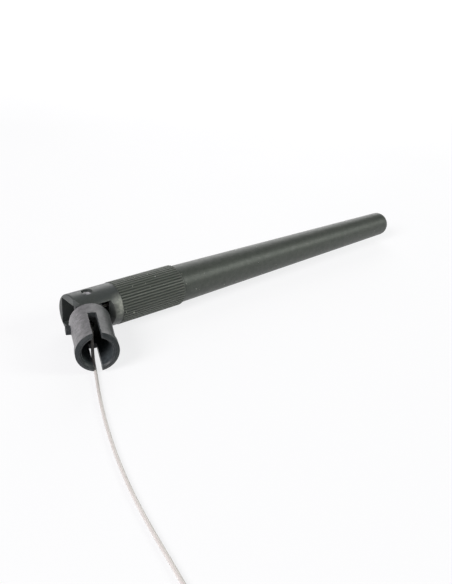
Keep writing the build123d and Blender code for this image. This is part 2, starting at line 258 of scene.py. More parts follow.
def make_dust_flecks():
    """Sparse pale flecks of dust and lint in drifts, each of its own size."""
    inputs = {
        "Colour": (0.1, 0.1, 0.1), "Fleck Colour": DUST, "Cell Scale": 1000.0, "Fleck Share": 0.12,
        "Fleck Size": 0.1,
    }
    tree, given, result = new_group("dust_flecks", inputs, {"Colour": "Color", "Mask": "Float"})
    where = on_piece(tree)
    stirred = scaled(tree, noise(tree, where, STIR_SCALE, 3.0, output="Color"), STIR_REACH)
    moved = vector_maths(tree, "ADD", where, stirred)
    cells = add(tree, "TexVoronoi", {"Vector": moved, "Scale": given["Cell Scale"]}).outputs
    pick = add(tree, "SeparateColor", {"Color": cells["Color"]}).outputs
    drifts = spread(tree, noise(tree, where, DRIFT_SCALE), *DRIFT_EDGE)
    chosen = maths(tree, "LESS_THAN", pick["Red"], times(tree, given["Fleck Share"], drifts))
    mostly_small = maths(tree, "ADD", maths(tree, "POWER", pick["Green"], 2.0), SMALLEST_FLECK)
    size = times(tree, given["Fleck Size"], mostly_small)
    inside = maths(tree, "LESS_THAN", cells["Distance"], size)
    strength = maths(tree, "ADD", times(tree, pick["Blue"], 1.0 - FAINTEST_FLECK), FAINTEST_FLECK)
    mask = times(tree, chosen, inside, strength)
    tree.links.new(mixed(tree, mask, given["Colour"], given["Fleck Colour"]), result["Colour"])
    tree.links.new(mask, result["Mask"])
    return tree


def make_drawn_metal():
    """Drawn or plated metal: fine streaks along X, and patches gone dull."""
    inputs = {
        "Colour": (0.7, 0.6, 0.4), "Dull Colour": (0.5, 0.4, 0.3), "Dull Share": 0.4,
        "Streak Scale": 4000.0, "Roughness": 0.25, "Roughness Spread": 0.2,
    }
    outputs = {"Colour": "Color", "Roughness": "Float", "Height": "Float"}
    tree, given, result = new_group("drawn_metal", inputs, outputs)
    where = on_piece(tree)
    patches = noise(tree, where, DULL_SCALE, 5.0)
    dull = times(tree, spread(tree, patches, *DULL_EDGE), given["Dull Share"])
    tree.links.new(mixed(tree, dull, given["Colour"], given["Dull Colour"]), result["Colour"])
    stretched = add(tree, "Mapping", {"Vector": where, "Scale": (STREAK_STRETCH, 1.0, 1.0)}).outputs["Vector"]
    streaks = noise(tree, stretched, given["Streak Scale"])
    sway = swing(tree, streaks, given["Roughness Spread"])
    glossy = maths(tree, "ADD", given["Roughness"], sway)
    roughness = maths(tree, "ADD", glossy, times(tree, dull, DULL_ROUGHNESS))
    tree.links.new(roughness, result["Roughness"])
    tree.links.new(streaks, result["Height"])
    return tree


MOULDED_SKIN = make_moulded_skin()
EDGE_WEAR_AND_HIGHLIGHT = make_edge_wear_and_highlight()
DUST_FLECKS = make_dust_flecks()
DRAWN_METAL = make_drawn_metal()


# ---------------------------------------------------------------- materials
# A pair gives the two places between which a mask fades in. Along the antenna from the pin:
GRIP_START = (7.5 * MM, 7.7 * MM)
GRIP_END = (27.5 * MM, 27.3 * MM)
NECK_HIGHLIGHT_START = (4.6 * MM, 6.6 * MM)
# From the antenna's axis, where the grip lies on its lands:
LANDS = -FLOOR
GROOVE_R = (LANDS - 0.03 * MM, LANDS - 0.14 * MM)
LAND_R = (LANDS - 0.05 * MM, LANDS - 0.01 * MM)
# Heights, and from the far side of the antenna to the stem's side:
NECK_HIGHLIGHT_BOTTOM = (-2.2 * MM, 0.2 * MM)
NECK_HIGHLIGHT_TOP = (4.8 * MM, 2.2 * MM)
NECK_HIGHLIGHT_SIDE = (PIN.dot(ACROSS) - 2 * MM, PIN.dot(ACROSS) + 2 * MM)
# On the stem, from its axis, from its mouth, and from its key's side to the other:
BARREL_R = (5.35 * MM, 5.25 * MM)
MOUTH_EDGE = (0.3 * MM, 0.5 * MM)
# The barrel's painted light fades across this, from the key's side to the other.
KEY_SIDE = (-3.5 * MM, 4 * MM)
# How far a face of the stem looks away from its axis, 1 straight out and -1 straight in, and along it:
OUTWARD = (0.75, 0.95)
NOT_OUTWARD = (0.4, 0.1)
NOT_ENDWISE = (0.6, 0.3)

# Shares of an effect where it is weakest, and where it is at its full strength:
LEAST_BARREL_PAINTED_LIGHT = 0.1
LEAST_NECK_HIGHLIGHT, LEAST_NECK_HIGHLIGHT_PATCH = 0.25, 0.3
GROOVE_SHARE, LAND_SHARE = 0.62, 0.7
FOAM_WALL_SHARE = 0.35
DUST_ROUGHNESS = 0.4

NECK_HIGHLIGHT_SCALE, NECK_HIGHLIGHT_EDGE = 1300.0, (0.3, 0.62)
BRAID_SCALE = 1400.0
FOAM_SCALE, FOAM_WALL_EDGE = 2600.0, (0.1, 0.6)


def new_material(name, **settings):
    """A material with one Principled shader. settings are that shader's own constants."""
    material = bpy.data.materials.new(name)
    material.use_nodes = True
    tree = material.node_tree
    shader = tree.nodes["Principled BSDF"]
    for label, value in settings.items():
        shader.inputs[label.replace("_", " ")].default_value = value
    return material, tree, shader.inputs


def lay_surface(tree, shader, colour, roughness, height, depth, normal=None):
    """Joins the worked-out colour, gloss and fine relief to the shader."""
    bump = {"Height": height, "Strength": 1.0, "Distance": depth}
    if normal is not None:
        bump["Normal"] = normal
    tree.links.new(colour, shader["Base Color"])
    tree.links.new(roughness, shader["Roughness"])
    tree.links.new(add(tree, "Bump", bump).outputs["Normal"], shader["Normal"])


def dulled(tree, roughness, dusty):
    """The roughness, with the dust's flecks made matt."""
    return maths(tree, "ADD", roughness, times(tree, dusty["Mask"], DUST_ROUGHNESS))


def plain_material(name, skin, grain_depth, **settings):
    """A soft or poured plastic with no worn edges."""
    material, tree, shader = new_material(name, **settings)
    base = place(tree, MOULDED_SKIN, **skin)
    lay_surface(tree, shader, base["Colour"], base["Roughness"], base["Height"], grain_depth)
    return material


def metal_material(name, metal, streak_depth):
    """A drawn, plated or cast metal, whose relief is its streaks."""
    material, tree, shader = new_material(name, Metallic=1.0)
    base = place(tree, DRAWN_METAL, **metal)
    lay_surface(tree, shader, base["Colour"], base["Roughness"], base["Height"], streak_depth)
    return material


def stem_masks(tree):
    """Where the stem's barrel gets painted light, palest on its key's side, and where a face belongs to its
    bore or slot.
    """
    at = add(tree, "SeparateXYZ", {"Vector": on_piece(tree)}).outputs
    outward = add(tree, "CombineXYZ", {"X": at["X"], "Z": at["Z"]}).outputs["Vector"]
    barrel = spread(tree, length(tree, outward), *BARREL_R)
    facing = add(tree, "NewGeometry").outputs["Normal"]
    outside = dot(tree, vector_maths(tree, "NORMALIZE", outward), facing)
    # Painted light on the barrel's outward faces, brightest on the key's side.
    barrel_light = times(
        tree, spread(tree, outside, *OUTWARD), barrel, spread(tree, at["Y"], *MOUTH_EDGE),
        spread(tree, at["X"], *KEY_SIDE, 1.0, LEAST_BARREL_PAINTED_LIGHT),
    )
    endwise = maths(tree, "ABSOLUTE", add(tree, "SeparateXYZ", {"Vector": facing}).outputs["Y"])
    inside = times(tree, spread(tree, outside, *NOT_OUTWARD), spread(tree, endwise, *NOT_ENDWISE), barrel)
    return barrel_light, inside


def grey_nylon():
    """The stem: dark at its ends as painted shade, paler in its bore and slot as painted fill light, and pale
    on its barrel as painted light.
    """
    material, tree, shader = new_material(
        "grey_nylon", Specular_IOR_Level=0.25, Sheen_Weight=0.05, Sheen_Roughness=0.4,
    )
    barrel_light, inside = stem_masks(tree)
    base = place(
        tree, MOULDED_SKIN, Colour=mixed(tree, barrel_light, mixed(tree, inside, GREY_NYLON, BORE_PAINTED_FILL_LIGHT), BARREL_PAINTED_LIGHT),
        Cloud_Colour=mixed(tree, barrel_light, GREY_NYLON_CLOUD, BARREL_PAINTED_LIGHT_CLOUD), Cloud_Scale=950.0,
        Cloud_Share=0.9, Grain_Scale=3600.0, Grain_Share=0.4, Roughness=0.44, Roughness_Spread=0.3,
    )
    # The stem's pale edges are partly wear and partly a painted highlight on the rim of its bore.
    edges = place(
        tree, EDGE_WEAR_AND_HIGHLIGHT, Colour=base["Colour"], Worn_Colour=GREY_NYLON_EDGE_WEAR_AND_HIGHLIGHT, Worn_Share=0.8,
        Edge_Width=0.18 * MM,
    )
    dusty = place(tree, DUST_FLECKS, Colour=edges["Colour"], Fleck_Share=0.15, Fleck_Size=0.1)
    lay_surface(tree, shader, dusty["Colour"], base["Roughness"], base["Height"], 0.004 * MM, edges["Normal"])
    return material


def grey_pin():
    """The pins' dished ends, with edges rubbed in the clevis."""
    material, tree, shader = new_material("grey_pin")
    base = place(
        tree, MOULDED_SKIN, Colour=PIN_GREY, Cloud_Colour=PIN_GREY_CLOUD, Cloud_Scale=700.0,
        Cloud_Share=0.5, Grain_Scale=6000.0, Grain_Share=0.2, Roughness=0.4, Roughness_Spread=0.15,
    )
    edges = place(
        tree, EDGE_WEAR_AND_HIGHLIGHT, Colour=base["Colour"], Worn_Colour=GREY_NYLON_EDGE_WEAR_AND_HIGHLIGHT, Worn_Share=0.5,
        Edge_Width=0.12 * MM,
    )
    dusty = place(tree, DUST_FLECKS, Colour=edges["Colour"], Fleck_Share=0.03)
    roughness = dulled(tree, base["Roughness"], dusty)
    lay_surface(tree, shader, dusty["Colour"], roughness, base["Height"], 0.003 * MM, edges["Normal"])
    return material


def round_antenna(tree):
    """The place, its distance along the antenna from the pin, and its distance from the antenna's axis."""
    where = on_piece(tree)
    from_pin = vector_maths(tree, "SUBTRACT", where, tuple(PIN))
    reach = dot(tree, from_pin, tuple(ALONG))
    off_axis = vector_maths(tree, "SUBTRACT", from_pin, scaled(tree, tuple(ALONG), reach))
    return where, reach, length(tree, off_axis)


def dark_nylon():
    """The clevis, with a painted highlight on the side of its neck."""
    material, tree, shader = new_material("dark_nylon", Sheen_Weight=0.06, Sheen_Roughness=0.35)
    base = place(
        tree, MOULDED_SKIN, Colour=DARK_NYLON, Cloud_Colour=DARK_NYLON_CLOUD, Cloud_Scale=380.0,
        Cloud_Share=0.7, Grain_Scale=3600.0, Grain_Share=0.35, Roughness=0.37, Roughness_Spread=0.2,
    )
    # The clevis's pale edges are partly wear and partly a painted highlight, such as the bright line on its
    # pocket's lip.
    edges = place(
        tree, EDGE_WEAR_AND_HIGHLIGHT, Colour=base["Colour"], Worn_Colour=DARK_NYLON_EDGE_WEAR_AND_HIGHLIGHT, Worn_Share=0.5,
        Edge_Width=0.2 * MM,
    )
    where, reach, _ = round_antenna(tree)
    height = add(tree, "SeparateXYZ", {"Vector": where}).outputs["Z"]
    # A painted highlight on the side of the neck, in patches.
    neck_highlight = times(
        tree, spread(tree, reach, *NECK_HIGHLIGHT_START), spread(tree, height, *NECK_HIGHLIGHT_BOTTOM),
        spread(tree, height, *NECK_HIGHLIGHT_TOP),
        spread(tree, dot(tree, where, tuple(ACROSS)), *NECK_HIGHLIGHT_SIDE, LEAST_NECK_HIGHLIGHT, 1.0),
        spread(tree, noise(tree, where, NECK_HIGHLIGHT_SCALE, 3.0), *NECK_HIGHLIGHT_EDGE, LEAST_NECK_HIGHLIGHT_PATCH, 1.0),
    )
    colour = mixed(tree, neck_highlight, edges["Colour"], NECK_PAINTED_HIGHLIGHT)
    dusty = place(tree, DUST_FLECKS, Colour=colour, Fleck_Share=0.2, Fleck_Size=0.1)
    lay_surface(tree, shader, dusty["Colour"], base["Roughness"], base["Height"], 0.004 * MM, edges["Normal"])
    return material


def dark_elastomer():
    """The tube and its grip, whose flutes are dark at the bottom and carry a painted highlight on their
    lands.
    """
    material, tree, shader = new_material("dark_elastomer", Sheen_Weight=0.12, Sheen_Roughness=0.3)
    base = place(
        tree, MOULDED_SKIN, Colour=ELASTOMER, Cloud_Colour=ELASTOMER_CLOUD, Cloud_Scale=620.0,
        Cloud_Share=0.8, Grain_Scale=3000.0, Grain_Share=0.45, Roughness=0.47, Roughness_Spread=0.14,
    )
    _, reach, radius = round_antenna(tree)
    fluted = times(tree, spread(tree, reach, *GRIP_START), spread(tree, reach, *GRIP_END))
    groove = times(tree, fluted, spread(tree, radius, *GROOVE_R), GROOVE_SHARE)
    land = times(tree, fluted, spread(tree, radius, *LAND_R), LAND_SHARE)
    colour = mixed(tree, land, mixed(tree, groove, base["Colour"], GROOVE_DARK), LAND_PAINTED_HIGHLIGHT)
    # The pale edges of the flutes are partly wear and partly a painted highlight.
    edges = place(
        tree, EDGE_WEAR_AND_HIGHLIGHT, Colour=colour, Worn_Colour=ELASTOMER_EDGE_WEAR_AND_HIGHLIGHT, Worn_Share=0.5, Edge_Width=0.1 * MM,
    )
    dusty = place(tree, DUST_FLECKS, Colour=edges["Colour"], Fleck_Share=0.45, Fleck_Size=0.12)
    roughness = dulled(tree, base["Roughness"], dusty)
    lay_surface(tree, shader, dusty["Colour"], roughness, base["Height"], 0.006 * MM, edges["Normal"])
    return material


def coax_jacket():
    """The coax's clear-coated pale jacket, with specks of grime."""
    material, tree, shader = new_material("coax_jacket", Coat_Weight=0.15, Coat_Roughness=0.25)
    base = place(
        tree, MOULDED_SKIN, Colour=JACKET, Cloud_Colour=JACKET_CLOUD, Cloud_Scale=260.0,
        Cloud_Share=0.4, Grain_Scale=2600.0, Grain_Share=0.12, Roughness=0.36, Roughness_Spread=0.16,
    )
    dusty = place(tree, DUST_FLECKS, Colour=base["Colour"], Fleck_Colour=GRIME, Fleck_Share=0.05)
    lay_surface(tree, shader, dusty["Colour"], base["Roughness"], base["Height"], 0.003 * MM)
    return material


def tinned_braid():
    """Fine tinned wires that cross over and under each other."""
    material, tree, shader = new_material("tinned_braid", Metallic=1.0)
    base = place(tree, DRAWN_METAL, Colour=TINNED, Dull_Colour=TINNED_DULL, Roughness=0.34)
    where = on_piece(tree)
    crossing = []
    for lean in (45, -45):
        turned = add(tree, "Mapping", {"Vector": where, "Rotation": (0, 0, radians(lean))}).outputs["Vector"]
        wires = add(tree, "TexWave", {"Vector": turned, "Scale": BRAID_SCALE}, bands_direction="X").outputs
        crossing.append(wires["Fac"])
    weave = maths(tree, "MAXIMUM", *crossing)
    lay_surface(tree, shader, base["Colour"], base["Roughness"], weave, 0.03 * MM)
    return material


def foam_ring():
    """Closed-cell foam: small round cells, darker between them."""
    material, tree, shader = new_material("foam_ring", Sheen_Weight=0.2)
    base = place(tree, MOULDED_SKIN, Colour=FOAM, Cloud_Colour=FOAM_CLOUD, Roughness=0.85)
    cells = add(tree, "TexVoronoi", {"Vector": on_piece(tree), "Scale": FOAM_SCALE}).outputs["Distance"]
    walls = times(tree, spread(tree, cells, *FOAM_WALL_EDGE), FOAM_WALL_SHARE)
    colour = mixed(tree, walls, base["Colour"], FOAM_WALL)
    lay_surface(tree, shader, colour, base["Roughness"], cells, -0.05 * MM)
    return material


def white_dielectric():
    skin = {
        "Colour": WHITE_PLASTIC, "Cloud_Colour": WHITE_PLASTIC_CLOUD, "Cloud_Scale": 800.0,
        "Grain_Share": 0.05, "Roughness": 0.4,
    }
    return plain_material("white_dielectric", skin, 0.002 * MM)


def black_shrink():
    skin = {
        "Colour": BLACK_PLASTIC, "Cloud_Colour": BLACK_PLASTIC_CLOUD, "Cloud_Scale": 600.0,
        "Grain_Scale": 2400.0, "Roughness": 0.42, "Roughness_Spread": 0.2,
    }
    return plain_material("black_shrink", skin, 0.01 * MM)


def potting():
    skin = {
        "Colour": RESIN, "Cloud_Colour": RESIN_CLOUD, "Cloud_Scale": 500.0, "Grain_Share": 0.05,
        "Roughness": 0.2, "Roughness_Spread": 0.15,
    }
    return plain_material("potting", skin, 0.004 * MM, Coat_Weight=0.3, Coat_Roughness=0.1)


def copper_wire():
    metal = {"Colour": COPPER, "Dull_Colour": COPPER_DULL, "Roughness": 0.28}
    return metal_material("copper_wire", metal, 0.001 * MM)


def brass_tube():
    metal = {"Colour": BRASS, "Dull_Colour": BRASS_DULL, "Dull_Share": 0.5, "Roughness": 0.3}
    return metal_material("brass_tube", metal, 0.002 * MM)


def solder():
    metal = {
        "Colour": SOLDERED, "Dull_Colour": SOLDERED_DULL, "Dull_Share": 0.7, "Streak_Scale": 1200.0,
        "Roughness": 0.32, "Roughness_Spread": 0.3,
    }
    return metal_material("solder", metal, 0.01 * MM)


def gold_plate():
    metal = {
        "Colour": GOLD, "Dull_Colour": GOLD_DULL, "Dull_Share": 0.35, "Streak_Scale": 2600.0,
        "Roughness": 0.22,
    }
    return metal_material("gold_plate", metal, 0.0015 * MM)


MATERIALS = {
    maker.__name__: maker()
    for maker in (
        grey_nylon, grey_pin, dark_nylon, dark_elastomer, coax_jacket, tinned_braid, white_dielectric,
        copper_wire, brass_tube, solder, black_shrink, foam_ring, potting, gold_plate,
    )
}

NODE_FINISH = {
    "stem": "grey_nylon",
    "upper_pivot_pin": "grey_pin",
    "lower_pivot_pin": "grey_pin",
    "clevis": "dark_nylon",
    "radome": "dark_elastomer",
    "coax_hinge_bend": "coax_jacket",
    "coax_tail": "coax_jacket",
    "coax_coil": "coax_jacket",
    "coax_jacket": "coax_jacket",
    "coax_braid": "tinned_braid",
    "coax_dielectric": "white_dielectric",
    "coax_conductor": "copper_wire",
    "dipole_sleeve": "brass_tube",
    "sleeve_bush": "white_dielectric",
    "solder_collar": "solder",
    "radiator_rod": "brass_tube",
    "feed_shrink_tube": "black_shrink",
    "lower_centring_ring": "foam_ring",
    "upper_centring_ring": "foam_ring",
    "potting_plug": "potting",
    "coil_tie": "black_shrink",
    "plug_shell": "gold_plate",
    "plug_insulator": "white_dielectric",
    "plug_contact": "gold_plate",
    "plug_wire": "white_dielectric",
}


def give_finish(piece, finish):
    piece.data.materials.clear()
    piece.data.materials.append(MATERIALS[finish])


for name, finish in NODE_FINISH.items():
    give_finish(nodes[name], finish)


# ---------------------------------------------------------------- the coax and its coil
CABLE_D = 0.81 * MM
ON_TABLE = FLOOR + CABLE_D / 2
tail_route = [
    (0.0, 0.0138, 0.0),
    (0.0, 0.0109, 0.0),
    (-0.00035, 0.0081, -0.0018),
    (-0.00057, 0.0054, -0.0039),
    (-0.0006, 0.0023, -0.0050),
    (-0.00063, -0.0015, ON_TABLE),
    (-0.00094, -0.0083, ON_TABLE),
    (-0.00104, -0.0162, ON_TABLE),
    (-0.0008, -0.0247, ON_TABLE),
    (-0.0002, -0.0333, ON_TABLE),
    (0.0009, -0.0424, ON_TABLE),
    (0.00255, -0.0515, ON_TABLE),
    (0.0044, -0.0600, ON_TABLE),
    (0.00592, -0.06748, ON_TABLE),
]

# The turns lie two side by side and two high. Radii of the turns, and their heights above the table:
OUTER, INNER = 5.02 * MM, 4.18 * MM
LOWER, UPPER = 0.57 * MM, 1.39 * MM
COIL_MIDDLE = Vector((0.0018, -0.0724, 0))
COIL_START = 11.5                    # degrees from +X, and the turns go clockwise
POINTS_PER_TURN = 18
# Where the coax has turned so many degrees, its radius and height:
coil_stations = [
    (0, OUTER, LOWER), (286, OUTER, LOWER), (346, INNER, LOWER), (590, INNER, LOWER), (650, INNER, UPPER),
    (895, INNER, UPPER), (955, OUTER, UPPER), (1181.5, OUTER, UPPER),
]


def along_stations(turned):
    """Radius and height where the coax has turned so many degrees round the coil."""
    for before, after in zip(coil_stations, coil_stations[1:]):
        if turned <= after[0]:
            share = (turned - before[0]) / (after[0] - before[0])
            return before[1] + share * (after[1] - before[1]), before[2] + share * (after[2] - before[2])
    return coil_stations[-1][1:]


def coil_route():
    """Control points of the turns, set out a little so that the spline itself has the turns' radius."""
    whole = coil_stations[-1][0]
    count = round(whole / 360 * POINTS_PER_TURN)
    points = []
    for step in range(count + 1):
        turned = whole * step / count
        radius, height = along_stations(turned)
        reach = radius / cos(pi / POINTS_PER_TURN)
        angle = radians(COIL_START - turned)
        points.append((
            COIL_MIDDLE.x + reach * cos(angle), COIL_MIDDLE.y + reach * sin(angle), FLOOR + height,
        ))
    return points


PLUG = Vector((-0.0057, -0.0770, FLOOR))
PLUG_CABLE_HEIGHT = 1.2 * MM
CRIMP_END = PLUG.x + 3.3 * MM
plug_run = [
    (CRIMP_END + 2.6 * MM, COIL_MIDDLE.y - OUTER, FLOOR + UPPER),
    (CRIMP_END + 1.2 * MM, PLUG.y - 0.1 * MM, FLOOR + PLUG_CABLE_HEIGHT + 0.05 * MM),
    (CRIMP_END - 0.4 * MM, PLUG.y, FLOOR + PLUG_CABLE_HEIGHT),
]


def spline_cord(name, route, thickness):
    """A round cord on one smooth open spline."""
    curve = bpy.data.curves.new(name, "CURVE")
    curve.dimensions = "3D"
    curve.resolution_u = 8
    curve.bevel_depth = thickness / 2
    curve.bevel_resolution = 5
    curve.use_fill_caps = True
    spline = curve.splines.new("NURBS")
    spline.points.add(len(route) - 1)
    for point, at in zip(spline.points, route):
        point.co = (*at, 1)
    spline.order_u = 3
    spline.use_endpoint_u = True
    cord = bpy.data.objects.new(name, curve)
    bpy.context.scene.collection.objects.link(cord)
    return cord


# ---------------------------------------------------------------- modelling by hand
X, Y, Z = 0, 1, 2
SQUARE_ON = 0.99                     # a normal or an edge lies along an axis past this
SIDE_ON = 0.1                        # and across it under this
ON_PLANE = 0.01 * MM                 # a face's middle is on a plane within this
SHARP = radians(40)                  # edges turned further than this are bevelled
SMOOTH = radians(35)                 # and edges turned less are shaded smooth


def start_piece(name, primitive, **settings):
    """A primitive added alone, at its size and place, and left in edit mode."""
    bpy.ops.object.select_all(action="DESELECT")
    primitive(**settings)
    piece = bpy.context.object
    piece.name = name
    bpy.ops.object.transform_apply(location=True, rotation=True, scale=True)
    bpy.ops.object.mode_set(mode="EDIT")
    bpy.ops.mesh.select_mode(type="FACE")
    return piece


def pick_faces(piece, wanted):
    """Selects the faces whose centre and normal pass a test."""
    bpy.ops.mesh.select_all(action="DESELECT")
    cage = bmesh.from_edit_mesh(piece.data)
    for face in cage.faces:
        if wanted(face.calc_center_median(), face.normal):
            face.select_set(True)
    bmesh.update_edit_mesh(piece.data)


def pick_edges(piece, wanted):
    """Selects the edges whose unit direction passes a test."""
    bpy.ops.mesh.select_mode(type="EDGE")
    bpy.ops.mesh.select_all(action="DESELECT")
    cage = bmesh.from_edit_mesh(piece.data)
    for edge in cage.edges:
        if wanted((edge.verts[1].co - edge.verts[0].co).normalized()):
            edge.select_set(True)
    bmesh.update_edit_mesh(piece.data)


def cut_across(places, axis):
    """Cuts all of a piece by planes at the given places along an axis."""
    for place_on_axis in places:
        point, normal = [0.0, 0.0, 0.0], [0.0, 0.0, 0.0]
        point[axis] = place_on_axis
        normal[axis] = 1.0
        bpy.ops.mesh.select_all(action="SELECT")
        bpy.ops.mesh.bisect(plane_co=point, plane_no=normal)


def extrude(way):
    """Extrudes the selected faces by a vector, or by a distance along their own normals."""
    if isinstance(way, tuple):
        bpy.ops.mesh.extrude_region_move(TRANSFORM_OT_translate={"value": way})
    else:
        bpy.ops.mesh.extrude_region_shrink_fatten(TRANSFORM_OT_shrink_fatten={"value": way})


def drill_through(piece, wall, axis, low, high):
    """A tunnel between the end faces, which lie past low and high, with a wall of even thickness."""
    pick_faces(piece, lambda at, normal: abs(normal[axis]) > SQUARE_ON and not low < at[axis] < high)
    bpy.ops.mesh.inset(thickness=wall, use_even_offset=True)
    bpy.ops.mesh.bridge_edge_loops()


def soften(piece, edge_width):
    """Bevels the sharp edges, shades the rest smooth, and leaves edit mode."""
    bpy.ops.mesh.select_all(action="SELECT")
    bpy.ops.mesh.normals_make_consistent(inside=False)
    bpy.ops.object.mode_set(mode="OBJECT")
    bevel = piece.modifiers.new("soft_edges", "BEVEL")
    bevel.width = edge_width
    bevel.segments = 2
    bevel.limit_method = "ANGLE"
    bevel.angle_limit = SHARP
    bpy.ops.object.modifier_apply(modifier=bevel.name)
    bpy.ops.object.shade_smooth_by_angle(angle=SMOOTH)


# ---------------------------------------------------------------- the coil's tape
TAPE_ANGLE = 140.0                   # round the coil from +X
TAPE_WIDTH = 1.2 * MM
TAPE_ROOM = 0.04 * MM                # to the turns
TAPE_THICK = 0.1 * MM
TAPE_CORNER = 0.5 * MM
TAPE_EDGE = 0.02 * MM
FLAG_LENGTH = 2.2 * MM               # of the tape's two ends, stuck together
FLAG_STEPS = 4
FLAG_DROOP = 0.02 * MM               # in each step


def coil_tape():
    """A strip of black tape round the turns, its ends stuck together as a flag that points outwards."""
    reach_in = INNER - CABLE_D / 2 - TAPE_ROOM - TAPE_THICK
    reach_out = OUTER + CABLE_D / 2 + TAPE_ROOM + TAPE_THICK
    low = LOWER - CABLE_D / 2 - TAPE_ROOM - TAPE_THICK
    high = UPPER + CABLE_D / 2 + TAPE_ROOM + TAPE_THICK
    tape = start_piece(
        "coil_tape", bpy.ops.mesh.primitive_cube_add, size=1.0,
        location=((reach_in + reach_out) / 2, 0, (low + high) / 2),
        scale=(reach_out - reach_in, TAPE_WIDTH, high - low),
    )
    pick_edges(tape, lambda way: abs(way.y) > SQUARE_ON)
    bpy.ops.mesh.bevel(offset=TAPE_CORNER, segments=5)
    bpy.ops.mesh.select_mode(type="FACE")
    drill_through(tape, TAPE_THICK, Y, -TAPE_WIDTH / 4, TAPE_WIDTH / 4)

    middle = (low + high) / 2

    def on_outer_wall(at, normal):
        return normal.x > SQUARE_ON and at.x > reach_out - TAPE_THICK / 2

    for height in (middle - TAPE_THICK, middle + TAPE_THICK):
        pick_faces(tape, on_outer_wall)
        bpy.ops.mesh.bisect(plane_co=(0, 0, height), plane_no=(0, 0, 1))
    pick_faces(tape, lambda at, normal: on_outer_wall(at, normal) and abs(at.z - middle) < TAPE_THICK / 2)
    for _ in range(FLAG_STEPS):
        extrude((FLAG_LENGTH / FLAG_STEPS, 0, -FLAG_DROOP))
    soften(tape, TAPE_EDGE)
    tape.rotation_euler = (0, 0, radians(TAPE_ANGLE))
    tape.location = (COIL_MIDDLE.x, COIL_MIDDLE.y, FLOOR)
    bpy.ops.object.transform_apply(location=True, rotation=True, scale=True)
    return tape


# ---------------------------------------------------------------- the plug's shell
SHELL_R = 1.3 * MM
SHELL_WALL = 0.2 * MM
SHELL_HEIGHT = 2.0 * MM
SHELL_EDGE = 0.03 * MM
SNAP_GROOVE = (0.45 * MM, 0.65 * MM)         # above the table
SNAP_DEPTH = 0.07 * MM
TOP_RIM = 0.3 * MM
TOP_DISH = 0.06 * MM
CRIMP_R = 0.62 * MM
CRIMP_BORE_R = 0.21 * MM
CRIMP_START = PLUG.x + 1.12 * MM
CRIMP_WAIST = (PLUG.x + 1.75 * MM, PLUG.x + 2.05 * MM)
CRIMP_BITE = 0.1 * MM
CRIMP_LIP = 0.1 * MM


def plug_snap_shell():
    """The plug's round skirt, open below with a groove round its rim, and the crimp that holds the coax."""
    skirt = start_piece(
        "plug_snap_shell", bpy.ops.mesh.primitive_cylinder_add, vertices=64, radius=SHELL_R,
        depth=SHELL_HEIGHT, location=(PLUG.x, PLUG.y, FLOOR + SHELL_HEIGHT / 2),
    )
    cut_across([FLOOR + height for height in SNAP_GROOVE], Z)
    groove = FLOOR + sum(SNAP_GROOVE) / 2
    pick_faces(skirt, lambda at, normal: abs(normal.z) < SIDE_ON and abs(at.z - groove) < ON_PLANE)
    extrude(-SNAP_DEPTH)
    pick_faces(skirt, lambda at, normal: normal.z < -SQUARE_ON and at.z < FLOOR + ON_PLANE)
    bpy.ops.mesh.inset(thickness=SHELL_WALL)
    extrude((0, 0, SHELL_HEIGHT - SHELL_WALL))
    pick_faces(skirt, lambda at, normal: normal.z > SQUARE_ON and at.z > FLOOR + SHELL_HEIGHT - ON_PLANE)
    bpy.ops.mesh.inset(thickness=TOP_RIM)
    extrude((0, 0, -TOP_DISH))
    soften(skirt, SHELL_EDGE)

    axis = Vector((0, PLUG.y, FLOOR + PLUG_CABLE_HEIGHT))
    crimp = start_piece(
        "plug_crimp", bpy.ops.mesh.primitive_cylinder_add, vertices=40, radius=CRIMP_R,
        depth=CRIMP_END - CRIMP_START, rotation=(0, radians(90), 0),
        location=((CRIMP_START + CRIMP_END) / 2, axis.y, axis.z),
    )
    drill_through(crimp, CRIMP_R - CRIMP_BORE_R, X, CRIMP_START + CRIMP_LIP, CRIMP_END - CRIMP_LIP)
    cut_across(CRIMP_WAIST, X)
    pick_faces(crimp, lambda at, normal: CRIMP_WAIST[0] < at.x < CRIMP_WAIST[1]
               and Vector((0, at.y - axis.y, at.z - axis.z)).length > CRIMP_R / 2)
    extrude(-CRIMP_BITE)
    soften(crimp, SHELL_EDGE)

    bpy.ops.object.select_all(action="DESELECT")
    bpy.context.view_layer.objects.active = skirt
    skirt.select_set(True)
    joined = skirt.modifiers.new("crimp", "BOOLEAN")
    joined.operation = "UNION"
    joined.solver = "EXACT"
    joined.object = crimp
    bpy.ops.object.modifier_apply(modifier=joined.name)
    bpy.data.objects.remove(crimp)
    bpy.ops.object.shade_smooth_by_angle(angle=SMOOTH)
    return skirt


for piece, finish, node in (
    (coil_tape(), "black_shrink", "coil_tie"), (plug_snap_shell(), "gold_plate", "plug_shell"),
):
    give_finish(piece, finish)
    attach(piece, "stem_body")
    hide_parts(node)

coax = spline_cord("coax_pigtail", tail_route + coil_route() + plug_run, CABLE_D)
give_finish(coax, "coax_jacket")
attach(coax, "stem_body")
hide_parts("coax_tail", "coax_coil")


# ---------------------------------------------------------------- coax through the hinge
# Distances from the pin, towards the stem's mouth and towards the tube's tip.
STEM_SIDE_CORNER, CLEVIS_SIDE_CORNER = 2.65 * MM, 2.4 * MM
CLEVIS_HOLE = 6.6 * MM


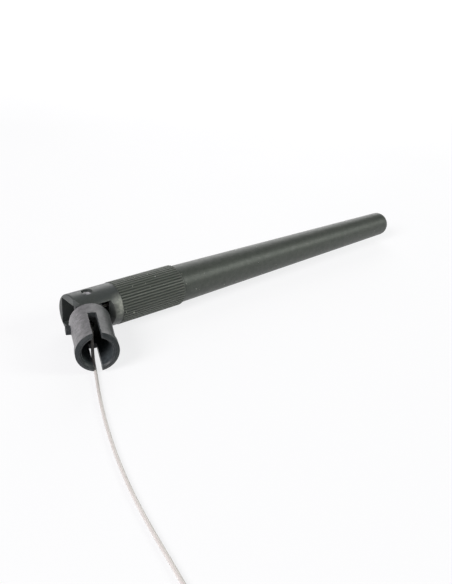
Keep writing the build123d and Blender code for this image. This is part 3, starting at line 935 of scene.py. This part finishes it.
def hinge_coax():
    """The coax between the stem's web and the clevis, as a mesh."""
    towards_mouth = Vector((0, -1, 0))
    route = [
        Vector(tail_route[0]), PIN + towards_mouth * STEM_SIDE_CORNER, PIN + ALONG * CLEVIS_SIDE_CORNER,
        PIN + ALONG * CLEVIS_HOLE,
    ]
    cord = spline_cord("hinge_coax_line", route, CABLE_D)
    cord.data.resolution_u = 16
    bpy.context.view_layer.update()
    mesh = bpy.data.meshes.new_from_object(cord)
    bpy.data.objects.remove(cord)
    piece = bpy.data.objects.new("hinge_coax", mesh)
    bpy.context.scene.collection.objects.link(piece)
    give_finish(piece, "coax_jacket")
    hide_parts("coax_hinge_bend")
    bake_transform(piece)


hinge_coax()


# ---------------------------------------------------------------- table
TABLE_SIZE = 8.0
TABLE_GLOW = 0.782                           # near the antenna, where the lamps add the rest
TABLE_NEAR, TABLE_FAR = 0.25, 0.9            # the lamps' light thins out between them


def seen_straight(tree):
    """1 where the camera, a reflection or glass sees this, and 0 where it only lights other things."""
    path = add(tree, "LightPath").outputs
    indirect = maths(tree, "MAXIMUM", path["Is Glossy Ray"], path["Is Transmission Ray"])
    return maths(tree, "MAXIMUM", path["Is Camera Ray"], indirect)


def pale_table():
    """A pale matt surface that keeps a soft shadow and stays white far away."""
    material = bpy.data.materials.new("pale_table")
    material.use_nodes = True
    tree = material.node_tree
    shader = tree.nodes["Principled BSDF"]
    base = place(
        tree, MOULDED_SKIN, Colour=PALE_TABLE, Cloud_Colour=PALE_TABLE_CLOUD, Cloud_Scale=8.0,
        Cloud_Share=0.5, Grain_Scale=900.0, Grain_Share=0.01, Roughness=0.8,
    )
    seen = seen_straight(tree)
    colour = mixed(tree, seen, TABLE_BOUNCE, base["Colour"])
    lay_surface(tree, shader.inputs, colour, base["Roughness"], base["Height"], 0.002 * MM)
    distance = length(tree, on_piece(tree))
    glow = times(tree, seen, spread(tree, distance, TABLE_NEAR, TABLE_FAR, TABLE_GLOW, 1.0))
    lit = add(tree, "Emission", {"Color": TABLE_LIGHT, "Strength": glow}).outputs[0]
    both = add(tree, "AddShader", {0: shader.outputs[0], 1: lit}).outputs[0]
    tree.links.new(both, tree.nodes["Material Output"].inputs["Surface"])
    return material


bpy.ops.object.select_all(action="DESELECT")
bpy.ops.mesh.primitive_plane_add(size=TABLE_SIZE, location=(0, 0, FLOOR))
table = bpy.context.object
table.name = "table"
table.data.transform(table.matrix_world)
table.matrix_world.identity()
table.data.materials.append(pale_table())


# ---------------------------------------------------------------- lamps and room
# Each lamp's name, its direction and distance from the hinge, its size, its power in watts and its tint:
LAMPS = (
    ("right_softbox", (0.77, -0.26, 0.43), 1.0, 0.34, 3.7, (0.95, 1.0, 0.92)),
    ("left_softbox", (-0.66, -0.50, 0.56), 1.0, 0.5, 9.8, (1.0, 0.975, 1.0)),
    ("back_softbox", (0.35, 0.90, 0.38), 1.2, 0.9, 4.3, (1.0, 1.0, 1.0)),
)
ROOM_LIGHT = 0.15                            # on the antenna, from all round
CEILING = 0.2                                # share of the cove's brightness that is reflected overhead
COVE_TOP = (0.05, 0.4)                       # the cove darkens into the ceiling between these heights
BEHIND_CAMERA = 0.15                         # share on the dark side of the room
COVE_SIDES = (-0.35, 0.25)


def softbox(name, towards, distance, size, power, tint):
    """A round soft lamp that shines on the hinge from a given direction."""
    direction = Vector(towards).normalized()
    lamp = bpy.data.lights.new(name, "AREA")
    lamp.shape = "DISK"
    lamp.size = size
    lamp.energy = power
    lamp.color = tint
    stand = bpy.data.objects.new(name, lamp)
    stand.location = PIN + direction * distance
    stand.rotation_euler = direction.to_track_quat("Z", "Y").to_euler()
    bpy.context.scene.collection.objects.link(stand)


def light_room():
    """White where the camera looks past the table, a bright cove in reflections, and dim as a light."""
    world = bpy.data.worlds.new("studio")
    bpy.context.scene.world = world
    world.use_nodes = True
    sky = world.node_tree
    direction = add(sky, "TexCoord").outputs["Generated"]
    heading = add(sky, "SeparateXYZ", {"Vector": direction}).outputs
    cove = times(
        sky, spread(sky, heading["Z"], *COVE_TOP, 1.0, CEILING),
        spread(sky, heading["Y"], *COVE_SIDES, BEHIND_CAMERA, 1.0), seen_straight(sky),
    )
    seen = maths(sky, "MAXIMUM", cove, add(sky, "LightPath").outputs["Is Camera Ray"])
    background = sky.nodes["Background"].inputs
    sky.links.new(maths(sky, "MAXIMUM", seen, ROOM_LIGHT), background["Strength"])
    background["Color"].default_value = (1, 1, 1, 1)


for lamp in LAMPS:
    softbox(*lamp)
light_room()


# ---------------------------------------------------------------- camera
SENSOR_WIDTH = 36.0
LENS = 55.75
NEAREST = 0.01
CAMERA_PLACE = (-0.0165, -0.14013, 0.08516)
CAMERA_TURN = (63.993, -3.533, -16.665)      # degrees about X, Y and Z

camera_data = bpy.data.cameras.new("camera")
camera_data.sensor_fit = "HORIZONTAL"
camera_data.sensor_width = SENSOR_WIDTH
camera_data.lens = LENS
camera_data.clip_start = NEAREST
camera = bpy.data.objects.new("camera", camera_data)
camera.location = CAMERA_PLACE
camera.rotation_euler = tuple(radians(angle) for angle in CAMERA_TURN)
bpy.context.scene.collection.objects.link(camera)
bpy.context.scene.camera = camera
bpy.context.scene.view_settings.view_transform = "Standard"
